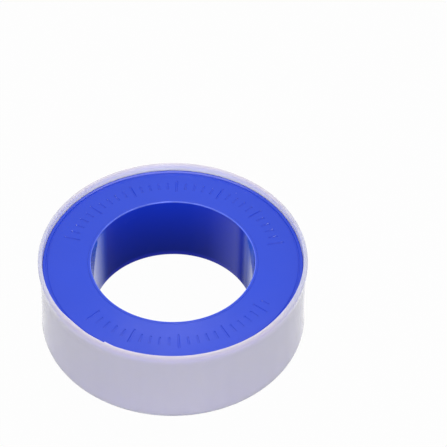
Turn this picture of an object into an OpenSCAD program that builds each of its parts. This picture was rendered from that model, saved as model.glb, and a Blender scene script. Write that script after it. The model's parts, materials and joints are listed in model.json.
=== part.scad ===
// Thread seal tape roll: a tape wound on a flanged spool that sits in an open round case.
// The roll lies flat. The axis is +Z and the origin is the centre of the case's foot.
// Lengths are in millimetres.

/* [Tape] */
// Width of the tape
tape_width = 12; // [8:0.5:19]
// Thickness of the tape
tape_thickness = 0.075; // [0.05:0.005:0.15]
// Length of the tape on a full roll
tape_length = 10000; // [6000:500:15000]
// Distance along the outermost turn from the tape's free end to the start of that turn
tail_gap = 4; // [2:0.5:12]

/* [Spool] */
// Diameter of the bore through the spool
bore_d = 31.6; // [20:0.2:40]
// Wall of the hub between the flanges
hub_wall = 1; // [0.8:0.1:2]
// Wall of the hub's ends, where the flanges are pressed on
spigot_wall = 0.6; // [0.45:0.05:0.7]
// Rounding of the bore's two edges
bore_round = 0.2; // [0.1:0.05:0.25]
// Thickness of each flange
flange_t = 1.1; // [0.7:0.1:2]
// How far the flanges reach past the wound tape
flange_overhang = 2.15; // [1.5:0.05:5]
// Width of the raised bead round each flange's edge
bead_w = 0.6; // [0.4:0.1:1.2]
// Height of that bead above the flange's face
bead_h = 0.2; // [0.1:0.05:0.35]
// Width of the moulding seam along the bore
seam_w = 0.3; // [0.2:0.05:0.6]
// Depth of that seam
seam_depth = 0.1; // [0.05:0.05:0.25]

/* [Marks] */
// Distance from the upper flange's edge to the middle of the moulded marks
mark_inset = 4.5; // [3.5:0.1:6]
// Length of a short mark
mark_short = 1.8; // [0.8:0.1:2.2]
// Length of a long mark
mark_long = 3.2; // [2.4:0.1:4]
// Width of a mark
mark_w = 0.35; // [0.2:0.05:0.6]
// Depth of a mark
mark_depth = 0.15; // [0.05:0.01:0.3]

/* [Case] */
// Wall of the case
case_wall = 0.9; // [0.7:0.1:1.6]
// Thickness of the lip that the spool rests on
lip_t = 0.6; // [0.5:0.1:1.5]
// Width of that lip, inwards from the wall
lip_w = 3.1; // [2:0.1:5]
// Height of the rim above the spool
rim_rise = 1.25; // [0.5:0.05:4]
// How much larger the case's radius is at the rim than at the foot
case_draft = 0.05; // [0:0.05:0.4]
// Rounding of the rim's outer edge
rim_outer_round = 0.45; // [0.2:0.05:0.45]
// Rounding of the rim's inner edge
rim_inner_round = 0.2; // [0.1:0.05:0.2]
// Rounding of the foot's outer edge
foot_round = 0.25; // [0.2:0.05:0.6]

/* [Fits] */
// Radial gap between the flanges and the case, at the lip
case_gap = 0.1; // [0.05:0.01:0.4]
// Radial gap between the wound tape and the hub
tape_bore_gap = 0.05; // [0.02:0.01:0.1]
// Gap between each edge of the tape and its flange
tape_side_gap = 0.2; // [0.1:0.05:0.5]
// Radial gap between a flange and the hub's end
press_gap = 0.02; // [0.01:0.01:0.04]
// Radial gap between the wound tape and its outermost turn
tail_lift = 0.02; // [0.015:0.005:0.05]

/* [Hidden] */
$fn = 180;

// A cut starts and ends this far outside what it cuts
overrun = 1;

// Radii of the spool, from the bore outwards
bore_r = bore_d / 2;
spigot_r = bore_r + spigot_wall;
hub_r = bore_r + hub_wall;
flange_in_r = spigot_r + press_gap;

// Radii of the winding: its section is as large as the tape's length times its thickness
tape_in_r = hub_r + tape_bore_gap;
wound_r = sqrt(tape_in_r * tape_in_r + tape_length * tape_thickness / PI);
flange_r = wound_r + flange_overhang;

// The outermost turn is a spiral that gains the tape's thickness in a whole turn
tail_steps = 180;
tail_start = 250;
tail_turn = 360 * (1 - tail_gap / (2 * PI * wound_r));
tail_gain = tape_thickness * tail_turn / 360;
tail_in_r = wound_r - tape_thickness - tail_gain;
core_r = tail_in_r - tail_lift;

// Radii of the case
case_in_r = flange_r + case_gap;
case_foot_r = case_in_r + case_wall;
rim_in_r = case_in_r + case_draft;
rim_r = case_foot_r + case_draft;
lip_r = case_in_r - lip_w;

// Levels, from the foot upwards
hub_z = lip_t + bead_h;
barrel_z = hub_z + flange_t;
tape_z = barrel_z + tape_side_gap;
barrel_top_z = barrel_z + tape_width + 2 * tape_side_gap;
hub_top_z = barrel_top_z + flange_t;
spool_top_z = hub_top_z + bead_h;
rim_z = spool_top_z + rim_rise;

// Rounding of the bead, as a share of its height
bead_round_share = 0.5;
bead_round = bead_h * bead_round_share;

// The marks lie in two arcs, each from one angle to another, and every fifth one is long
mark_arcs = [[15, 165], [225, 330]];
mark_step = 5;
marks_per_long = 5;
mark_r = flange_r - mark_inset;

// Angle of the moulding seam in the bore
seam_angle = 290;

arc_steps = 6;

// Points of an arc about a centre
function arc(centre, r, from, to) = [
    for (i = [0:arc_steps])
        let (a = from + (to - from) * i / arc_steps)
            centre + r * [cos(a), sin(a)]
];

// A point of the outermost turn, some way out from the tape's inner side
function tail_point(i, out) =
    let (a = tail_start + tail_turn * i / tail_steps)
        (tail_in_r + tail_gain * i / tail_steps + out) * [cos(a), sin(a)];

tail_middle = [for (i = [0:tail_steps]) tail_point(i, tape_thickness / 2)];
tail_least_gap = min([
    for (i = [0:tail_steps / 2], j = [i + tail_steps / 2:tail_steps])
        norm(tail_middle[i] - tail_middle[j]) - tape_thickness
]);
echo(tail_least_gap = tail_least_gap);

// Outer case: a round wall, slightly wider at its rim, with a lip under the spool
module case_shell() {
    color("lavender")
        rotate_extrude()
            polygon(concat(
                [[lip_r, 0]],
                arc([case_foot_r - foot_round, foot_round], foot_round, -90, 0),
                arc([rim_r - rim_outer_round, rim_z - rim_outer_round], rim_outer_round, 0, 90),
                arc([rim_in_r + rim_inner_round, rim_z - rim_inner_round], rim_inner_round, 90, 180),
                [[case_in_r, lip_t], [lip_r, lip_t]]
            ));
}

// Hub: a tube that is stepped down at both ends, which lie level with the flanges' faces,
// with rounded bore edges and a moulding seam
module spool_hub() {
    color("royalblue")
        difference() {
            rotate_extrude()
                polygon(concat(
                    arc([bore_r + bore_round, hub_z + bore_round], bore_round, 180, 270),
                    [
                        [spigot_r, hub_z],
                        [spigot_r, barrel_z],
                        [hub_r, barrel_z],
                        [hub_r, barrel_top_z],
                        [spigot_r, barrel_top_z],
                        [spigot_r, hub_top_z]
                    ],
                    arc([bore_r + bore_round, hub_top_z - bore_round], bore_round, 90, 180)
                ));
            rotate([0, 0, seam_angle])
                translate([0, -seam_w / 2, barrel_z])
                    cube([bore_r + seam_depth, seam_w, barrel_top_z - barrel_z]);
        }
}

// A flange with its bead, lying on its inner face at the zero level
module flange_ring() {
    bead_in_r = flange_r - bead_w;
    bead_z = flange_t + bead_h;
    rotate_extrude()
        polygon(concat(
            [[flange_in_r, 0], [flange_r, 0]],
            arc([flange_r - bead_round, bead_z - bead_round], bead_round, 0, 90),
            arc([bead_in_r + bead_round, bead_z - bead_round], bead_round, 90, 180),
            [[bead_in_r, flange_t], [flange_in_r, flange_t]]
        ));
}

// Cutters for the marks on a flange's outer face
module mark_cuts() {
    for (span = mark_arcs, i = [0:(span[1] - span[0]) / mark_step]) {
        mark_l = i % marks_per_long == 0 ? mark_long : mark_short;
        rotate([0, 0, span[0] + i * mark_step])
            translate([mark_r - mark_l / 2, -mark_w / 2, flange_t - mark_depth])
                cube([mark_l, mark_w, mark_depth + overrun]);
    }
}

// Upper flange, with plain marks sunk in its face
module upper_flange() {
    color("royalblue")
        translate([0, 0, barrel_top_z])
            difference() {
                flange_ring();
                mark_cuts();
            }
}

// Lower flange, the upper one's plain mirror image
module lower_flange() {
    color("royalblue")
        translate([0, 0, barrel_z])
            mirror([0, 0, 1])
                flange_ring();
}

// Wound tape, all but its outermost turn, as one plain ring
module tape_winding() {
    color("whitesmoke")
        translate([0, 0, tape_z])
            rotate_extrude()
                translate([tape_in_r, 0])
                    square([core_r - tape_in_r, tape_width]);
}

// Outermost turn of the tape, up to its free end
module tape_tail() {
    color("white")
        translate([0, 0, tape_z])
            linear_extrude(tape_width)
                polygon(concat(
                    [for (i = [0:tail_steps]) tail_point(i, tape_thickness)],
                    [for (i = [tail_steps:-1:0]) tail_point(i, 0)]
                ));
}

case_shell();
spool_hub();
upper_flange();
lower_flange();
tape_winding();
tape_tail();
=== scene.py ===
"""Looks of the thread seal tape roll: white tape wound on a blue spool that lies in a milky open case."""
import json
import math

import bpy
from mathutils import Matrix, Vector, noise


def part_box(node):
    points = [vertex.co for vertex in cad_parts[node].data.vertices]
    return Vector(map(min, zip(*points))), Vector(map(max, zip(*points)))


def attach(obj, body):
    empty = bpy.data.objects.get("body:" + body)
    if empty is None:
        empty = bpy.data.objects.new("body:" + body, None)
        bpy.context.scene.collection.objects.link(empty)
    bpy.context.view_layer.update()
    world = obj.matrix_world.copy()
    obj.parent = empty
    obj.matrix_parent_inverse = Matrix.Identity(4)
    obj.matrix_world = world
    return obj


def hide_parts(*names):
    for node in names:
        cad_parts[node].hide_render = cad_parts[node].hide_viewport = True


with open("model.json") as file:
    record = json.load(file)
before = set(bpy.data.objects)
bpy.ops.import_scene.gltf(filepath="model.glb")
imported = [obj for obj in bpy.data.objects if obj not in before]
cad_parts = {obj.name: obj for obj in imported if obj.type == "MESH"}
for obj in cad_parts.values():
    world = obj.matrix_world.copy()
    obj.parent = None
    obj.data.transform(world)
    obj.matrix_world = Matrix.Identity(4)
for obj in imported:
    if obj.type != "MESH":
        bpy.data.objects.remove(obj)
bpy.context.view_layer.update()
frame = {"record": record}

MM = 0.001
FULL_TURN = 2 * math.pi

# The photograph's camera: pixels of its frame, metres, degrees and a sensor width in millimetres
PHOTO_SIDE_PX = 447
FOCAL_PX = 1900
ORIGIN_PX = (175.4, 314.8)
ORIGIN_DEPTH = 0.3772
CAMERA_DOWN = math.radians(45.6)
CAMERA_ROLL = math.radians(1.34)
SENSOR_W = 36
CLIP_REACH = 100

# Main sizes, from the frame
CASE_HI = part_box("case_shell")[1]
RIM_R = CASE_HI.x
RIM_Z = CASE_HI.z
HUB_LO, HUB_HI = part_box("spool_hub")
HUB_R = HUB_HI.x
BORE_R = frame["record"]["mounts"][0]["dims"]["r_mm"] * MM
UPPER_LO, UPPER_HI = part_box("upper_flange")
LOWER_LO, LOWER_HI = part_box("lower_flange")
FLANGE_R = UPPER_HI.x
FLANGE_H = UPPER_HI.z - UPPER_LO.z
LIP_TOP = LOWER_LO.z
TAPE_LO, TAPE_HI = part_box("tape_winding")
CORE_R = TAPE_HI.x
TAIL_LO, TAIL_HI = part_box("tape_tail")
WOUND_R = max(TAIL_HI.x, -TAIL_LO.x)

# Case: the wall, the foot and the lip under the spool
CASE_WALL = 0.95 * MM
CASE_DRAFT = 0.05 * MM
LIP_W = 3.1 * MM
LIP_ROUND = 0.15 * MM
FOOT_ROUND = 0.25 * MM
FOOT_INSET = 0.09 * MM
# The outer wall from the foot up, in millimetres: height, and how far it draws in from the solid's radius
WALL_INSETS_MM = ((1.5, 0.2), (4, 0.27), (8, 0.35), (12, 0.38),
                  (13.6, 0.38), (14.4, 0.34), (15.1, 0.26), (15.7, 0.16))

# Case: the rim, whose two rounded edges meet on its top, and which waves slightly
RIM_INSET = 0.1 * MM
RIM_OUTER_ROUND = 0.45 * MM
RIM_OUTER_FALL = 0.7 * MM
RIM_INNER_ROUND = CASE_WALL - RIM_INSET - RIM_OUTER_ROUND
RIM_INNER_FALL = 0.55 * MM
RIM_EDGE_MARGIN = 0.05 * MM
RIM_WAVE = 0.03 * MM
RIM_WAVE_SCALE = 4
# Stretches where the rim's inner edge is sharper: middle and half width in degrees, and how much
RIM_SHARP = ((334, 38, 0.95), (224, 11, 0.8))
# A nick in the rim's inner edge, with a burr beside it
NICK_ANGLE = math.radians(241.9)
NICK_W = 1.1 * MM
NICK_DEPTH = 0.14 * MM
NICK_FALL = 0.55 * MM
NICK_STEP = 0.05 * MM
BURR_W = 2 * MM
BURR_FILL = 0.8

# Spool: the hub, whose ends stand proud of the flanges, and the seam along its bore
SPIGOT_WALL = 0.6 * MM
SPIGOT_GAP = 0.02 * MM
HUB_PROUD = 0.16 * MM
HUB_FOOT_PROUD = 0.48 * MM
HUB_TOP = HUB_HI.z + HUB_PROUD
HUB_FOOT = HUB_LO.z - HUB_FOOT_PROUD
HUB_RING_ROUND = 0.08 * MM
BORE_ROUND = 0.2 * MM
BORE_FOOT_ROUND = 0.3 * MM
SEAM_ANGLE = math.radians(290)
SEAM_W = 0.3 * MM
SEAM_DEPTH = 0.1 * MM
SEAM_SLOPE_SHARE = 0.5

# Spool: the flanges, which reach close to the case, each with a bead round its edge and a groove inside that
UPPER_EDGE_REACH = 0.08 * MM
LOWER_EDGE_REACH = 0.04 * MM
EDGE_ROUND = 0.12 * MM
BEAD_W = 0.6 * MM
BEAD_H = 0.2 * MM
BEAD_EDGE_ROUND = 0.2 * MM
BEAD_SHOULDER_W = 0.1 * MM
BEAD_SLOPE_FALL = 0.1 * MM
BEAD_SLOPE_SHARES = (0.1, 0.5, 1)
GROOVE_W = 0.28 * MM
GROOVE_DEPTH = 0.09 * MM
GROOVE_SLOPE = 0.06 * MM
FACE_RISE = 0.1 * MM
FACE_DROP = 0.2 * MM
FACE_DISH = 0.3

# Marks sunk in the upper flange: two arcs of ticks, in degrees, every fifth one long
MARK_ARCS = ((15, 165), (225, 330))
MARK_STEP = 5
MARKS_PER_LONG = 5
MARK_INSET = 4.5 * MM
MARK_R = FLANGE_R - MARK_INSET
MARK_SHORT = 1.8 * MM
MARK_LONG = 3.2 * MM
MARK_W = 0.35 * MM
MARK_DEPTH = 0.15 * MM
MARK_SLOPE = 0.05 * MM

# The wound tape: the pitch of its turns, and the share of it that the film fills
TAPE_PITCH = 0.075 * MM
TAPE_FILL = 0.94
FILM_T = TAPE_PITCH * TAPE_FILL
TAPE_BORE_GAP = 0.05 * MM
# The tape's outermost turn: its start, the gap from there to its free end, and its soft creases
TAIL_START = math.radians(250)
TAIL_GAP = 4 * MM
CREASE_H = 0.03 * MM
CREASE_SCALE = 420
CREASE_STRETCH = 0.35
CREASE_FLOOR = 0.05

# Fineness of the meshes
RING_STEPS = 288
ARC_STEPS = 6
WALL_STEPS = 6
TURN_STEPS = 120
TAIL_STEPS = 360
TAIL_ROWS = 24
SHARP_ANGLE = math.radians(38)


def arc(centre_r, centre_z, radius, start, end, rise=None):
    """Points of a rounded corner, between two angles in degrees; rise is its height where that differs."""
    points = []
    for i in range(ARC_STEPS + 1):
        a = math.radians(start + (end - start) * i / ARC_STEPS)
        points.append((centre_r + radius * math.cos(a), centre_z + (rise or radius) * math.sin(a)))
    return points


def ring_angles(extra=()):
    """Evenly spaced angles round the axis, with further ones where a detail needs them."""
    even = [FULL_TURN * i / RING_STEPS for i in range(RING_STEPS)]
    return sorted(even + [a % FULL_TURN for a in extra])


def angle_from(a, b):
    """The angle from direction b to direction a, the short way round, with its sign."""
    return (a - b + math.pi) % FULL_TURN - math.pi


def fade(distance, edge, slope):
    """One inside an edge and zero outside it, with a straight slope between."""
    return min(1, max(0, (edge + slope - distance) / (2 * slope)))


def swell(a, middle, half):
    """One at a middle angle, falling softly to zero at a half width to both sides, both in degrees."""
    off = math.degrees(abs(angle_from(a, math.radians(middle))))
    return (1 + math.cos(math.pi * off / half)) / 2 if off < half else 0


def mesh_piece(name, points, faces, material):
    """An object from points and faces, shaded smooth but for its sharp edges."""
    mesh = bpy.data.meshes.new(name)
    mesh.from_pydata(points, [], faces)
    mesh.shade_smooth()
    mesh.set_sharp_from_angle(angle=SHARP_ANGLE)
    mesh.materials.append(material)
    piece = bpy.data.objects.new(name, mesh)
    bpy.context.scene.collection.objects.link(piece)
    return piece


def turned(name, profile, angles, material, shaped=None):
    """A ring whose closed profile of (radius, height) points goes round the axis.

    shaped moves a point of the profile at an angle.
    """
    points = []
    for a in angles:
        for r, z in profile:
            if shaped:
                r, z = shaped(r, z, a)
            points.append((r * math.cos(a), r * math.sin(a), z))
    rows = len(angles)
    count = len(profile)
    faces = []
    for i in range(rows):
        near = i * count
        far = (i + 1) % rows * count
        for j in range(count):
            faces.append((near + j, far + j, far + (j + 1) % count, near + (j + 1) % count))
    return mesh_piece(name, points, faces, material)


def make_case(material):
    """Open case: a thin wall that draws in under its rim, a lip under the spool and a nick in the rim."""
    rim_in = RIM_R - CASE_WALL
    rim_top_r = rim_in + RIM_INNER_ROUND
    foot_r = RIM_R - FOOT_INSET
    foot_in = rim_in - CASE_DRAFT
    lip_r = foot_in - LIP_W
    profile = arc(lip_r + LIP_ROUND, LIP_ROUND, LIP_ROUND, 180, 270)
    profile += arc(foot_r - FOOT_ROUND, FOOT_ROUND, FOOT_ROUND, -90, 0)
    profile += [(RIM_R - inset * MM, z * MM) for z, inset in WALL_INSETS_MM]
    profile += arc(rim_top_r, RIM_Z - RIM_OUTER_FALL, RIM_OUTER_ROUND, 0, 90, RIM_OUTER_FALL)
    inner_round = arc(rim_top_r, RIM_Z - RIM_INNER_FALL, RIM_INNER_ROUND, 90, 180, RIM_INNER_FALL)
    # Its first point is the outer rounding's last one
    profile += inner_round[1:]
    down = [k / WALL_STEPS for k in range(1, WALL_STEPS)]
    profile += [(rim_in - CASE_DRAFT * share, RIM_Z * (1 - share)) for share in down]
    profile += [(foot_in, LIP_TOP)]
    profile += arc(lip_r + LIP_ROUND, LIP_TOP - LIP_ROUND, LIP_ROUND, 90, 180)
    nick_places = (-NICK_W, -NICK_W / 2, -NICK_STEP, NICK_STEP, BURR_W / 4, BURR_W / 2, BURR_W)
    nick_angles = [NICK_ANGLE + along / rim_in for along in nick_places]

    def shaped(r, z, a):
        near_rim = max(0, (z - RIM_Z + NICK_FALL) / NICK_FALL)
        wave = noise.noise(Vector((math.cos(a), math.sin(a), 0)) * RIM_WAVE_SCALE)
        along = angle_from(a, NICK_ANGLE) * rim_in
        bite = 1 + along / NICK_W if -NICK_W < along < 0 else 0
        burr = 1 - along / BURR_W if 0 < along < BURR_W else 0
        inner = fade(r - rim_in, CASE_WALL / 2, CASE_WALL / 4)
        sharp = max(amount * swell(a, middle, half) for middle, half, amount in RIM_SHARP)
        rounded = 1 - max(BURR_FILL * burr, sharp)
        if r < rim_top_r + RIM_EDGE_MARGIN and z > RIM_Z - RIM_INNER_FALL - RIM_EDGE_MARGIN:
            r = rim_in + (r - rim_in) * rounded
            z = RIM_Z - (RIM_Z - z) * rounded
        return r + NICK_DEPTH * bite * near_rim * inner, z - RIM_WAVE * near_rim * abs(wave)

    return turned("case", profile, ring_angles(nick_angles), material, shaped)


def make_hub(face_material, bore_material, edge_highlight_material):
    """Hub tube, stepped for the flanges, with a narrow ring at both ends and a seam along the bore."""
    spigot_r = BORE_R + SPIGOT_WALL
    seam_lo, seam_hi = LOWER_HI.z, UPPER_LO.z
    profile = arc(BORE_R + BORE_FOOT_ROUND, HUB_FOOT + BORE_FOOT_ROUND, BORE_FOOT_ROUND, 180, 270)
    profile += arc(spigot_r - HUB_RING_ROUND, HUB_FOOT + HUB_RING_ROUND, HUB_RING_ROUND, -90, 0)
    profile += [(spigot_r, seam_lo), (HUB_R, seam_lo), (HUB_R, seam_hi), (spigot_r, seam_hi)]
    profile += arc(spigot_r - HUB_RING_ROUND, HUB_TOP - HUB_RING_ROUND, HUB_RING_ROUND, 0, 90)
    profile += arc(BORE_R + BORE_ROUND, HUB_TOP - BORE_ROUND, BORE_ROUND, 90, 180)
    profile += [(BORE_R, z) for z in (seam_hi + SEAM_W, seam_hi, seam_lo, seam_lo - SEAM_W)]
    seam_half = SEAM_W / 2 / BORE_R
    seam_slope = seam_half * SEAM_SLOPE_SHARE
    seam_angles = [SEAM_ANGLE + s * (seam_half + e * seam_slope) for s in (-1, 1) for e in (-1, 1)]

    def shaped(r, z, a):
        on_bore = r < BORE_R + BORE_ROUND / ARC_STEPS and seam_lo <= z <= seam_hi
        sunk = fade(abs(angle_from(a, SEAM_ANGLE)), seam_half, seam_slope) if on_bore else 0
        return r + SEAM_DEPTH * sunk, z

    hub = turned("hub", profile, ring_angles(seam_angles), face_material, shaped)
    hub.data.materials.append(bore_material)
    hub.data.materials.append(edge_highlight_material)
    bore_finish, edge_highlight_finish = 1, 2
    # The bore's upper rounded edge takes the finish with the painted highlight
    for face in hub.data.polygons:
        if math.hypot(face.center.x, face.center.y) < BORE_R + BORE_ROUND:
            if face.center.z > HUB_TOP - BORE_ROUND:
                face.material_index = edge_highlight_finish
            elif face.center.z > HUB_FOOT + BORE_FOOT_ROUND:
                face.material_index = bore_finish
    return hub


def flange_profile(reach, rise, drop):
    """Flange section lying on its inner face: bead and groove at the edge and close points across the marks.

    The edge is further out than the solid's by reach. The outer face is a flat cone, slightly dished:
    higher by rise at the hub and lower by drop at the bead.
    """
    inner = BORE_R + SPIGOT_WALL + SPIGOT_GAP
    edge_r = FLANGE_R + reach
    bead_in = FLANGE_R - BEAD_W
    bead_out = edge_r - BEAD_EDGE_ROUND
    shoulder_r = bead_in + BEAD_SHOULDER_W
    groove_in = bead_in - GROOVE_W
    low_face = FLANGE_H - BEAD_H - drop
    groove_z = low_face - GROOVE_DEPTH
    top = low_face + BEAD_H

    def face_point(r):
        inward = (groove_in - r) / (groove_in - inner)
        return r, low_face + (rise + drop) * inward * (1 - FACE_DISH * (1 - inward))

    profile = [(inner, 0)]
    profile += arc(edge_r - EDGE_ROUND, EDGE_ROUND, EDGE_ROUND, -90, 0)
    profile += arc(bead_out, top - BEAD_EDGE_ROUND, BEAD_EDGE_ROUND, 0, 90)
    for share in BEAD_SLOPE_SHARES:
        profile.append((shoulder_r + (bead_out - shoulder_r) * (1 - share), top - BEAD_SLOPE_FALL * share))
    profile += [(bead_in, groove_z), (groove_in + GROOVE_SLOPE, groove_z), face_point(groove_in)]
    ends = [MARK_R + s * (length / 2 + e * MARK_SLOPE)
            for length in (MARK_LONG, MARK_SHORT) for s in (-1, 1) for e in (-1, 1)]
    profile += [face_point(r) for r in sorted(ends, reverse=True)]
    profile += [face_point(inner)]
    return profile


def mark_table():
    """Angle and length of every mark."""
    marks = []
    for first, last in MARK_ARCS:
        for i in range((last - first) // MARK_STEP + 1):
            length = MARK_SHORT if i % MARKS_PER_LONG else MARK_LONG
            marks.append((math.radians(first + i * MARK_STEP), length))
    return marks


def make_upper_flange(material):
    """Upper flange, its marks sunk in the face."""
    marks = mark_table()
    edges = [s * (MARK_W / 2 + e * MARK_SLOPE) / MARK_R for s in (-1, 1) for e in (-1, 1)]
    angles = ring_angles([a + e for a, length in marks for e in edges])

    def shaped(r, z, a):
        sunk = 0
        if z > FLANGE_H / 2 and abs(r - MARK_R) < MARK_LONG:
            mark, length = min(marks, key=lambda m: abs(angle_from(a, m[0])))
            across = abs(angle_from(a, mark)) * MARK_R
            sunk = fade(across, MARK_W / 2, MARK_SLOPE) * fade(abs(r - MARK_R), length / 2, MARK_SLOPE)
        return r, UPPER_LO.z + z - MARK_DEPTH * sunk

    profile = flange_profile(UPPER_EDGE_REACH, FACE_RISE, FACE_DROP)
    return turned("upper_flange_ring", profile, angles, material, shaped)


def make_lower_flange(material):
    """Lower flange: a plain mirror image of the upper one, with a flat face."""
    profile = [(r, LOWER_HI.z - z) for r, z in reversed(flange_profile(LOWER_EDGE_REACH, 0, 0))]
    return turned("lower_flange_ring", profile, ring_angles(), material)


def strip_section(rows, radius, crease=None):
    """Closed section of the tape across its width: up its outer side and down its inner side."""
    width = TAPE_HI.z - TAPE_LO.z
    heights = [TAPE_LO.z + width * k / rows for k in range(rows + 1)]
    lift = [crease(z) if crease else 0 for z in heights]
    outer = [(radius + FILM_T + d, z) for z, d in zip(heights, lift)]
    inner = [(radius + d, z) for z, d in zip(heights, lift)]
    return outer + inner[::-1]


def wound_strip(name, sections, angles, material):
    """A strip through the given sections, one for each angle, with closed ends."""
    points = []
    for section, a in zip(sections, angles):
        points += [(r * math.cos(a), r * math.sin(a), z) for r, z in section]
    count = len(sections[0])
    faces = []
    for i in range(len(angles) - 1):
        near = i * count
        far = near + count
        for j in range(count):
            faces.append((near + j, far + j, far + (j + 1) % count, near + (j + 1) % count))
    half = count // 2
    last = (len(angles) - 1) * count
    for j in range(half - 1):
        faces.append((j, j + 1, count - 2 - j, count - 1 - j))
        faces.append((last + count - 1 - j, last + count - 2 - j, last + j + 1, last + j))
    return mesh_piece(name, points, faces, material)


def make_winding(material):
    """All turns of the tape but the outermost, as one long spiral strip."""
    inner = HUB_R + TAPE_BORE_GAP
    turns = (CORE_R - inner) / TAPE_PITCH - 1
    steps = int(turns * TURN_STEPS)
    angles = [TAIL_START - FULL_TURN * (steps - i) / TURN_STEPS for i in range(steps + 1)]
    sections = [strip_section(1, inner + TAPE_PITCH * i / TURN_STEPS) for i in range(steps + 1)]
    return wound_strip("wound_tape", sections, angles, material)


def make_tail(material):
    """Outermost turn of the tape, with soft creases and a free end."""
    turn = FULL_TURN - TAIL_GAP / WOUND_R
    start_r = WOUND_R - TAPE_PITCH * (1 + turn / FULL_TURN)
    angles = [TAIL_START + turn * i / TAIL_STEPS for i in range(TAIL_STEPS + 1)]

    def section(i):
        a = angles[i]

        def crease(z):
            at = Vector((math.cos(a) * WOUND_R, math.sin(a) * WOUND_R, z * CREASE_STRETCH)) * CREASE_SCALE
            return CREASE_H * max(0, noise.noise(at) - CREASE_FLOOR)

        return strip_section(TAIL_ROWS, start_r + TAPE_PITCH * i / TAIL_STEPS, crease)

    return wound_strip("tape_end", [section(i) for i in range(TAIL_STEPS + 1)], angles, material)


def feed(tree, socket, value):
    """Links another socket to this one, or sets it to a plain value."""
    if isinstance(value, bpy.types.NodeSocket):
        tree.links.new(value, socket)
    else:
        socket.default_value = value


def put(tree, kind, settings=None, **sockets):
    """A shader node with its settings, whose sockets are linked or set."""
    made = tree.nodes.new(kind)
    for key, value in (settings or {}).items():
        setattr(made, key, value)
    for key, value in sockets.items():
        feed(tree, made.inputs[key.replace("_", " ")], value)
    return made


def maths(tree, operation, a, b=0.0, c=0.0):
    """Output of a Math node; a, b and c are sockets or numbers."""
    made = put(tree, "ShaderNodeMath", {"operation": operation})
    for socket, value in zip(made.inputs, (a, b, c)):
        feed(tree, socket, value)
    return made.outputs[0]


def ranged(tree, value, low, high, to_low, to_high):
    """Output of a Map Range node."""
    made = put(tree, "ShaderNodeMapRange", Value=value, From_Min=low, From_Max=high,
               To_Min=to_low, To_Max=to_high)
    return made.outputs["Result"]


# Places of the colour sockets on a Mix node
MIX_FIRST = 6
MIX_SECOND = 7
MIX_RESULT = 2


def blended(tree, factor, first, second):
    """Output of a Mix node between two colours, each a socket or a value."""
    made = put(tree, "ShaderNodeMix", {"data_type": "RGBA"}, Factor=factor)
    feed(tree, made.inputs[MIX_FIRST], first)
    feed(tree, made.inputs[MIX_SECOND], second)
    return made.outputs[MIX_RESULT]


def hump(tree, value, rise, fall, left):
    """A mask that goes up to one over a range of a value, and down to what is left over another."""
    up = ranged(tree, value, *rise, 0.0, 1.0)
    down = ranged(tree, value, *fall, 1.0, left)
    return maths(tree, "MINIMUM", up, down)


# Kinds of a node group's sockets
VALUE = "NodeSocketFloat"
COLOUR = "NodeSocketColor"
VECTOR = "NodeSocketVector"


def shader_group(name, inputs, outputs):
    """A node group with named sockets, and its two end nodes."""
    tree = bpy.data.node_groups.new(name, "ShaderNodeTree")
    for label, kind in inputs:
        tree.interface.new_socket(label, in_out="INPUT", socket_type=kind)
    for label, kind in outputs:
        tree.interface.new_socket(label, in_out="OUTPUT", socket_type=kind)
    return tree, tree.nodes.new("NodeGroupInput"), tree.nodes.new("NodeGroupOutput")


def place_group(tree, group, **sockets):
    """The group in a material, with its own values."""
    return put(tree, "ShaderNodeGroup", {"node_tree": group}, **sockets)


# Noise of the moulded surface: its middle value, and the smears in its gloss
NOISE_MIDDLE = 0.5
SMEAR_SCALE = 160.0
SMEAR_RANGE = (0.2, 0.8)


def moulded_surface_group():
    """Moulded plastic: slow clouds in the tint, uneven gloss and a fine skin."""
    tree, given, out = shader_group(
        "moulded_surface",
        [("Tint", COLOUR), ("Cloud Scale", VALUE), ("Cloud Amount", VALUE),
         ("Gloss Low", VALUE), ("Gloss High", VALUE), ("Skin Scale", VALUE)],
        [("Color", COLOUR), ("Roughness", VALUE), ("Height", VALUE)])
    place = put(tree, "ShaderNodeTexCoord").outputs["Object"]
    cloud = put(tree, "ShaderNodeTexNoise", Vector=place, Scale=given.outputs["Cloud Scale"], Detail=3.0)
    spread = maths(tree, "SUBTRACT", cloud.outputs["Fac"], NOISE_MIDDLE)
    value = maths(tree, "MULTIPLY_ADD", spread, given.outputs["Cloud Amount"], 1.0)
    tinted = put(tree, "ShaderNodeHueSaturation", Color=given.outputs["Tint"], Value=value)
    smear = put(tree, "ShaderNodeTexNoise", Vector=place, Scale=SMEAR_SCALE, Detail=3.0)
    gloss = ranged(tree, smear.outputs["Fac"], *SMEAR_RANGE, given.outputs["Gloss Low"],
                   given.outputs["Gloss High"])
    skin = put(tree, "ShaderNodeTexNoise", Vector=place, Scale=given.outputs["Skin Scale"], Detail=2.0)
    tree.links.new(tinted.outputs["Color"], out.inputs["Color"])
    tree.links.new(gloss, out.inputs["Roughness"])
    tree.links.new(skin.outputs["Fac"], out.inputs["Height"])
    return tree


def drawn_lines_group():
    """Fine lines along the way that a surface was drawn or wound; Stretch is their scale along X, Y and Z."""
    tree, given, out = shader_group(
        "drawn_lines",
        [("Stretch", VECTOR), ("Detail", VALUE)],
        [("Lines", VALUE)])
    place = put(tree, "ShaderNodeTexCoord").outputs["Object"]
    drawn = put(tree, "ShaderNodeMapping", Vector=place, Scale=given.outputs["Stretch"])
    lines = put(tree, "ShaderNodeTexNoise", Vector=drawn.outputs["Vector"], Scale=1.0,
                Detail=given.outputs["Detail"])
    tree.links.new(lines.outputs["Fac"], out.inputs["Lines"])
    return tree


def principled(name, **sockets):
    """A material with a Principled shader, and its tree and shader."""
    material = bpy.data.materials.new(name)
    material.use_nodes = True
    tree = material.node_tree
    shader = tree.nodes["Principled BSDF"]
    for key, value in sockets.items():
        shader.inputs[key.replace("_", " ")].default_value = value
    return material, tree, shader


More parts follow.
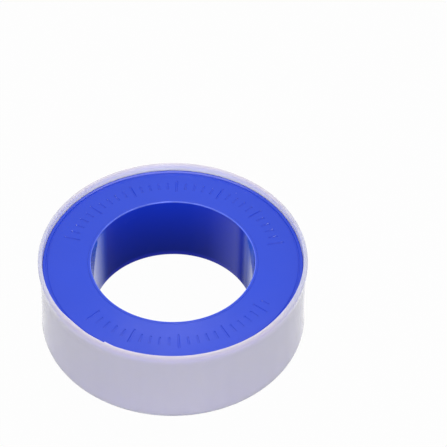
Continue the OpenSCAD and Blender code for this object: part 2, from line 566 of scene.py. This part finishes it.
def join_plastic(tree, shader, colour, surface, height, depth):
    """Joins a colour, a moulded surface's gloss and a shallow relief to a plastic's shader."""
    bump = put(tree, "ShaderNodeBump", Height=height, Distance=depth, Strength=0.25)
    tree.links.new(colour, shader.inputs["Base Color"])
    tree.links.new(surface.outputs["Roughness"], shader.inputs["Roughness"])
    tree.links.new(bump.outputs["Normal"], shader.inputs["Normal"])


# Blue plastic of the spool
FLANGE_BLUE = (0.016, 0.062, 0.67, 1)
# Paler blue of the bore's upper edge: a painted highlight
EDGE_HIGHLIGHT_BLUE = (0.1, 0.17, 0.86, 1)
BLUE_CLOUD_SCALE = 55.0
BLUE_SKIN_SCALE = 1400.0
BLUE_RELIEF = 0.02 * MM
# Specks of dust on the flanges: the surface is split into cells, and a share of them holds one speck each
DUST_TINT = (0.5, 0.55, 0.85, 1)
DUST_CELLS = 420.0
DUST_SHARE = 0.03
DUST_SIZE = 0.06


def dusted(tree, colour):
    """A colour with sparse pale specks of dust on it."""
    place = put(tree, "ShaderNodeTexCoord").outputs["Object"]
    cells = put(tree, "ShaderNodeTexVoronoi", Vector=place, Scale=DUST_CELLS)
    lot = put(tree, "ShaderNodeSeparateColor", Color=cells.outputs["Color"])
    chosen = maths(tree, "LESS_THAN", lot.outputs["Red"], DUST_SHARE)
    close = maths(tree, "LESS_THAN", cells.outputs["Distance"], DUST_SIZE)
    speck = maths(tree, "MULTIPLY", chosen, close)
    soft = maths(tree, "MULTIPLY", speck, lot.outputs["Green"])
    return blended(tree, soft, colour, DUST_TINT)


def blue_face_plastic(moulded):
    """Satin blue plastic of the flanges and the hub's ends, with a little dust."""
    material, tree, shader = principled("blue_face_plastic", IOR=1.5)
    surface = place_group(tree, moulded, Tint=FLANGE_BLUE, Cloud_Scale=BLUE_CLOUD_SCALE, Cloud_Amount=0.16,
                          Gloss_Low=0.13, Gloss_High=0.19, Skin_Scale=BLUE_SKIN_SCALE)
    colour = dusted(tree, surface.outputs["Color"])
    join_plastic(tree, shader, colour, surface, surface.outputs["Height"], BLUE_RELIEF)
    return material


def blue_edge_highlight_plastic(moulded):
    """Blue plastic of the bore's upper edge, paler as a painted highlight along it."""
    material, tree, shader = principled("blue_edge_highlight_plastic", IOR=1.5)
    surface = place_group(tree, moulded, Tint=EDGE_HIGHLIGHT_BLUE, Cloud_Scale=240.0, Cloud_Amount=0.9,
                          Gloss_Low=0.16, Gloss_High=0.24, Skin_Scale=BLUE_SKIN_SCALE)
    join_plastic(tree, shader, surface.outputs["Color"], surface, surface.outputs["Height"], BLUE_RELIEF)
    return material


# Tints of the bore's wall: high up; low down, darker as painted shade; low on the right, paler as painted
# light; at the foot, paler as painted bounce light; and at its sides, paler as a painted reflection
BORE_BLUE = (0.004, 0.034, 0.6, 1)
BORE_LOW_SHADE_BLUE = (0.006, 0.028, 0.38, 1)
BORE_LOW_SIDE_LIT_BLUE = (0.012, 0.06, 0.8, 1)
BORE_FOOT_BOUNCE_BLUE = (0.05, 0.075, 0.9, 1)
BORE_SIDE_REFLECTION_BLUE = (0.016, 0.15, 0.97, 1)
BORE_FOOT_BOUNCE_H = 1.5 * MM
BORE_LINES = (900.0, 900.0, 20.0)
# Where two of the tints lie across the bore, in shares of its radius: a range to rise in and one to fall in
LOW_SIDE_LIGHT_RISE = (0.4, 0.8)
LOW_SIDE_LIGHT_FALL = (0.8, 0.87)
LOW_SIDE_LIGHT_LEFT = 0.45
SIDE_REFLECTION_RISE = (0.84, 0.96)
SIDE_REFLECTION_FALL = (0.98, 1.0)
SIDE_REFLECTION_LEFT = 0.4
# Gloss of the bore's wall: azimuth in degrees and the coat's weight there, the same on both halves
BORE_GLOSS = ((0, 0.85), (6, 0.75), (14, 0.95), (18, 0.75), (21, 0.55), (24.5, 0.3), (27.5, 0.42),
              (30.5, 0.12), (33, 0.02), (35.5, 0.15), (38, 0.38), (41, 0.5), (50, 0.42), (58, 0.3),
              (66, 0.18), (80, 0.1), (138, 0.06), (150, 0.09), (154, 0.42), (157, 0.72), (164, 1.0),
              (172, 1.0), (180, 0.85))
# The gloss is duller on the right near the top: how much, how far down, and over which shares of the radius
DULL_MOST = 0.6
DULL_FALL = 7.6 * MM
DULL_RISE = (0.88, 0.93)


def bore_gloss(tree, place, rightward):
    """Weight of the bore's coat: streaks round the wall, duller near the top on the right."""
    azimuth = maths(tree, "ARCTAN2", place.outputs["Y"], place.outputs["X"])
    half_turn = maths(tree, "FRACT", maths(tree, "ADD", maths(tree, "DIVIDE", azimuth, math.pi), 1.0))
    ramp = put(tree, "ShaderNodeValToRGB", Fac=half_turn)
    stops = ramp.color_ramp.elements
    while len(stops) < len(BORE_GLOSS):
        stops.new(1.0)
    for stop, (degrees, weight) in zip(stops, BORE_GLOSS):
        stop.position = degrees / 180
        stop.color = (weight, weight, weight, 1)
    high = ranged(tree, place.outputs["Z"], HUB_HI.z - DULL_FALL, HUB_HI.z, 0.0, DULL_MOST)
    dulled = maths(tree, "MULTIPLY", high, ranged(tree, rightward, *DULL_RISE, 0.0, 1.0))
    return maths(tree, "MULTIPLY", ramp.outputs["Color"], maths(tree, "SUBTRACT", 1.0, dulled))


def bore_tint(tree, place, rightward):
    """Tint of the bore's wall: darker below as painted shade, paler low on the right and at the foot as
    painted light, and paler at the sides as a painted reflection.
    """
    height = place.outputs["Z"]
    # Painted shade: the wall darker low down
    upward = ranged(tree, height, HUB_LO.z, HUB_HI.z, 0.0, 1.0)
    # Painted bounce light: paler towards the foot
    foot_bounce = ranged(tree, height, HUB_FOOT, HUB_FOOT + BORE_FOOT_BOUNCE_H, 1.0, 0.0)
    # Painted light: paler low on the right
    low_side_light = hump(tree, rightward, LOW_SIDE_LIGHT_RISE, LOW_SIDE_LIGHT_FALL, LOW_SIDE_LIGHT_LEFT)
    # Painted reflection: paler at both sides
    side_reflection = hump(tree, maths(tree, "ABSOLUTE", rightward), SIDE_REFLECTION_RISE, SIDE_REFLECTION_FALL, SIDE_REFLECTION_LEFT)
    low = blended(tree, low_side_light, BORE_LOW_SHADE_BLUE, BORE_LOW_SIDE_LIT_BLUE)
    wall = blended(tree, foot_bounce, blended(tree, upward, low, BORE_BLUE), BORE_FOOT_BOUNCE_BLUE)
    return blended(tree, side_reflection, wall, BORE_SIDE_REFLECTION_BLUE)


def blue_bore_plastic(moulded, drawn):
    """Blue plastic of the bore's wall, glossy in streaks where it was drawn off its core; its tint holds
    painted shade, painted light and a painted reflection.
    """
    material, tree, shader = principled("blue_bore_plastic", IOR=1.1, Specular_IOR_Level=0.2, Coat_IOR=1.53,
                                        Coat_Roughness=0.06)
    place = put(tree, "ShaderNodeSeparateXYZ", Vector=put(tree, "ShaderNodeTexCoord").outputs["Object"])
    rightward = maths(tree, "DIVIDE", place.outputs["X"], BORE_R)
    tint = bore_tint(tree, place, rightward)
    surface = place_group(tree, moulded, Tint=tint, Cloud_Scale=BLUE_CLOUD_SCALE, Cloud_Amount=0.1,
                          Gloss_Low=0.2, Gloss_High=0.3, Skin_Scale=BLUE_SKIN_SCALE)
    tree.links.new(bore_gloss(tree, place, rightward), shader.inputs["Coat Weight"])
    lines = place_group(tree, drawn, Stretch=BORE_LINES, Detail=3.0)
    join_plastic(tree, shader, surface.outputs["Color"], surface, lines.outputs["Lines"], BLUE_RELIEF)
    return material


# Milky plastic of the case: tints of the wall, inside and outside, and of the rim with its left and right.
# The rim's tints, darker and greyer than the wall's, are painted shade, with a bluer painted shade at its
# left and right; its inside, paler than its outside, is painted light
MILKY_WALL = (0.675, 0.655, 0.97, 1)
MILKY_INSIDE = (0.86, 0.86, 1.0, 1)
MILKY_RIM_OUTSIDE = (0.56, 0.53, 0.62, 1)
MILKY_RIM_INSIDE = (0.63, 0.605, 0.705, 1)
MILKY_RIM_SIDE_SHADE = (0.515, 0.535, 0.69, 1)
RIM_TINT_FALL = 1.2 * MM
RIM_SIDE_SHADE_RANGE = (0.75, 0.97)
RIM_SIDE_SHADE_SHARE = 0.9
MILKY_DEPTH = 1.6 * MM
MILKY_RELIEF = 0.01 * MM
MILKY_LINES = (420.0, 420.0, 12.0)
MILKY_LINES_RANGE = (0.25, 0.75)
MILKY_STREAK = 0.01


def milky_tint(tree, lines):
    """Tint of the case by place: inside and outside, wall and rim, with faint upright streaks. The rim's
    darker, greyer tints are painted shade, bluer at its left and right, and its paler inside is painted
    light.
    """
    place = put(tree, "ShaderNodeSeparateXYZ", Vector=put(tree, "ShaderNodeTexCoord").outputs["Object"])
    along_x = place.outputs["X"]
    along_y = maths(tree, "POWER", place.outputs["Y"], 2.0)
    radius = maths(tree, "SQRT", maths(tree, "MULTIPLY_ADD", along_x, along_x, along_y))
    outward = ranged(tree, radius, RIM_R - CASE_WALL, RIM_R - CASE_WALL / 2, 0.0, 1.0)
    upward = ranged(tree, place.outputs["Z"], RIM_Z - RIM_TINT_FALL, RIM_Z, 0.0, 1.0)
    sideways = maths(tree, "DIVIDE", maths(tree, "ABSOLUTE", along_x), RIM_R)
    # Painted shade: a bluer tint on the rim at its left and right
    side_shade = ranged(tree, sideways, *RIM_SIDE_SHADE_RANGE, 0.0, RIM_SIDE_SHADE_SHARE)
    wall = blended(tree, outward, MILKY_INSIDE, MILKY_WALL)
    # Painted shade and light: the rim's tints darker and greyer than the wall's, its inside paler than its
    # outside
    rim = blended(tree, outward, MILKY_RIM_INSIDE, MILKY_RIM_OUTSIDE)
    tint = blended(tree, upward, wall, blended(tree, side_shade, rim, MILKY_RIM_SIDE_SHADE))
    streak = ranged(tree, lines, *MILKY_LINES_RANGE, 1 - MILKY_STREAK, 1 + MILKY_STREAK)
    return put(tree, "ShaderNodeHueSaturation", Color=tint, Value=streak).outputs["Color"]


def milky_plastic(moulded, drawn):
    """Milky lavender plastic of the case, which light passes through."""
    material, tree, shader = principled("milky_case_plastic", IOR=1.4, Subsurface_Weight=1.0,
                                        Subsurface_Scale=MILKY_DEPTH, Subsurface_Radius=(1.0, 0.95, 0.9))
    lines = place_group(tree, drawn, Stretch=MILKY_LINES, Detail=2.0)
    tint = milky_tint(tree, lines.outputs["Lines"])
    surface = place_group(tree, moulded, Tint=tint, Cloud_Scale=70.0, Cloud_Amount=0.06,
                          Gloss_Low=0.06, Gloss_High=0.12, Skin_Scale=500.0)
    join_plastic(tree, shader, surface.outputs["Color"], surface, surface.outputs["Height"], MILKY_RELIEF)
    return material


# White film of the tape
FILM_WHITE = (0.97, 0.97, 1.0, 1)
FILM_LINE_WHITE = (0.88, 0.88, 0.93, 1)
FILM_LINES = (60.0, 60.0, 5200.0)
FILM_DEPTH = 0.2 * MM
FILM_RELIEF = 0.02 * MM


def tape_film(drawn):
    """Soft white film with fine lines along its length."""
    material, tree, shader = principled("white_tape_film", IOR=1.38, Roughness=0.55, Subsurface_Weight=0.3,
                                        Subsurface_Scale=FILM_DEPTH, Subsurface_Radius=(1.0, 1.0, 1.0))
    lines = place_group(tree, drawn, Stretch=FILM_LINES, Detail=4.0).outputs["Lines"]
    bump = put(tree, "ShaderNodeBump", Height=lines, Distance=FILM_RELIEF, Strength=0.5)
    tree.links.new(blended(tree, lines, FILM_LINE_WHITE, FILM_WHITE), shader.inputs["Base Color"])
    tree.links.new(bump.outputs["Normal"], shader.inputs["Normal"])
    return material


# The studio: white floor, soft boxes and a pale room
FLOOR_SIDE = 6
FLOOR_Z = -0.02 * MM
FLOOR_GLOW = 0.98
FLOOR_GREY = (0.25, 0.25, 0.25, 1)
PLAIN_WHITE = (1, 1, 1, 1)
# Brightness of the room, and where its walls and ceiling begin and end, as parts of a direction
ROOM_FRONT_WALL = 2.8
ROOM_SIDE_WALL = 0.5
ROOM_BACK_WALL = 2.0
ROOM_CEILING = 0.75
ROOM_FRONT_RANGE = (-0.98, -0.7)
ROOM_BACK_RANGE = (0.1, 0.7)
ROOM_CEILING_RANGE = (0.1, 0.55)
# Soft boxes: name, place and width in metres, power in watts and colour
SOFT_BOXES = (("key_soft_box", (0, 0.308, 0.782), 0.34, 1.45, (1.0, 0.94, 0.9)),
              ("front_soft_box", (0.12, -0.58, 0.55), 0.12, 0.8, (1.0, 1.0, 1.0)))


def studio_floor():
    """Pale floor that the camera and reflections see nearly white, with the roll's shadow left on it."""
    half = FLOOR_SIDE / 2
    material = bpy.data.materials.new("studio_floor_white")
    material.use_nodes = True
    tree = material.node_tree
    tree.nodes.clear()
    path = put(tree, "ShaderNodeLightPath")
    seen = maths(tree, "MAXIMUM", path.outputs["Is Camera Ray"], path.outputs["Is Glossy Ray"])
    seen = maths(tree, "MAXIMUM", seen, path.outputs["Is Transmission Ray"])
    share = maths(tree, "MULTIPLY", seen, FLOOR_GLOW)
    matte = put(tree, "ShaderNodeBsdfDiffuse", Color=FLOOR_GREY)
    glow = put(tree, "ShaderNodeEmission", Color=PLAIN_WHITE, Strength=1.0)
    mixed = put(tree, "ShaderNodeMixShader", Fac=share)
    tree.links.new(matte.outputs["BSDF"], mixed.inputs[1])
    tree.links.new(glow.outputs["Emission"], mixed.inputs[2])
    end = put(tree, "ShaderNodeOutputMaterial", Surface=mixed.outputs["Shader"])
    end.is_active_output = True
    corners = [(x, y, FLOOR_Z) for x, y in ((-half, -half), (half, -half), (half, half), (-half, half))]
    floor = mesh_piece("studio_floor", corners, [(0, 1, 2, 3)], material)


def studio_room():
    """Pale room whose front and back walls are brighter than its sides and its ceiling."""
    world = bpy.data.worlds.new("pale_room")
    world.use_nodes = True
    tree = world.node_tree
    facing = put(tree, "ShaderNodeSeparateXYZ", Vector=put(tree, "ShaderNodeTexCoord").outputs["Generated"])
    front = ranged(tree, facing.outputs["Y"], *ROOM_FRONT_RANGE, ROOM_FRONT_WALL, ROOM_SIDE_WALL)
    back = ranged(tree, facing.outputs["Y"], *ROOM_BACK_RANGE, ROOM_SIDE_WALL, ROOM_BACK_WALL)
    wall = maths(tree, "MAXIMUM", front, back)
    level = ranged(tree, facing.outputs["Z"], *ROOM_CEILING_RANGE, wall, ROOM_CEILING)
    tree.links.new(level, tree.nodes["Background"].inputs["Strength"])
    tree.nodes["Background"].inputs["Color"].default_value = PLAIN_WHITE
    bpy.context.scene.world = world


def soft_box(name, place, width, power, colour):
    """Square area light aimed at the roll."""
    data = bpy.data.lights.new(name, "AREA")
    data.size = width
    data.energy = power
    data.color = colour
    lamp = bpy.data.objects.new(name, data)
    lamp.location = place
    lamp.rotation_euler = (-Vector(place)).to_track_quat("-Z", "Y").to_euler()
    bpy.context.scene.collection.objects.link(lamp)


def photo_camera():
    """Camera that sees the roll as the photograph does."""
    forward = Vector((0, math.cos(CAMERA_DOWN), -math.sin(CAMERA_DOWN)))
    right = Vector((1, 0, 0))
    up = Vector((0, math.sin(CAMERA_DOWN), math.cos(CAMERA_DOWN)))
    across = (ORIGIN_PX[0] - PHOTO_SIDE_PX / 2) / FOCAL_PX
    down = (ORIGIN_PX[1] - PHOTO_SIDE_PX / 2) / FOCAL_PX
    eye = -(forward + right * across - up * down) * ORIGIN_DEPTH
    turned_right = right * math.cos(CAMERA_ROLL) + up * math.sin(CAMERA_ROLL)
    turned_up = up * math.cos(CAMERA_ROLL) - right * math.sin(CAMERA_ROLL)
    data = bpy.data.cameras.new("photo_camera")
    data.sensor_fit = "HORIZONTAL"
    data.sensor_width = SENSOR_W
    data.lens = FOCAL_PX / PHOTO_SIDE_PX * SENSOR_W
    data.clip_start = ORIGIN_DEPTH / CLIP_REACH
    data.clip_end = ORIGIN_DEPTH * CLIP_REACH
    camera = bpy.data.objects.new("photo_camera", data)
    axes = Matrix((turned_right, turned_up, -forward)).transposed()
    camera.matrix_world = Matrix.Translation(eye) @ axes.to_4x4()
    bpy.context.scene.collection.objects.link(camera)
    bpy.context.scene.camera = camera


def dress(piece, body, node):
    """Puts a piece on its body in place of its solid."""
    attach(piece, body)
    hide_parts(node)


# The camera, the finishes, the pieces of the roll and the studio
photo_camera()
moulded = moulded_surface_group()
drawn = drawn_lines_group()
face_blue = blue_face_plastic(moulded)
bore_blue = blue_bore_plastic(moulded, drawn)
edge_highlight_blue = blue_edge_highlight_plastic(moulded)
milky = milky_plastic(moulded, drawn)
film = tape_film(drawn)

dress(make_case(milky), "case", "case_shell")
dress(make_hub(face_blue, bore_blue, edge_highlight_blue), "spool", "spool_hub")
dress(make_upper_flange(face_blue), "spool", "upper_flange")
dress(make_lower_flange(face_blue), "spool", "lower_flange")
dress(make_winding(film), "tape", "tape_winding")
dress(make_tail(film), "tape", "tape_tail")

studio_floor()
studio_room()
for box in SOFT_BOXES:
    soft_box(*box)
bpy.context.scene.view_settings.view_transform = "Standard"
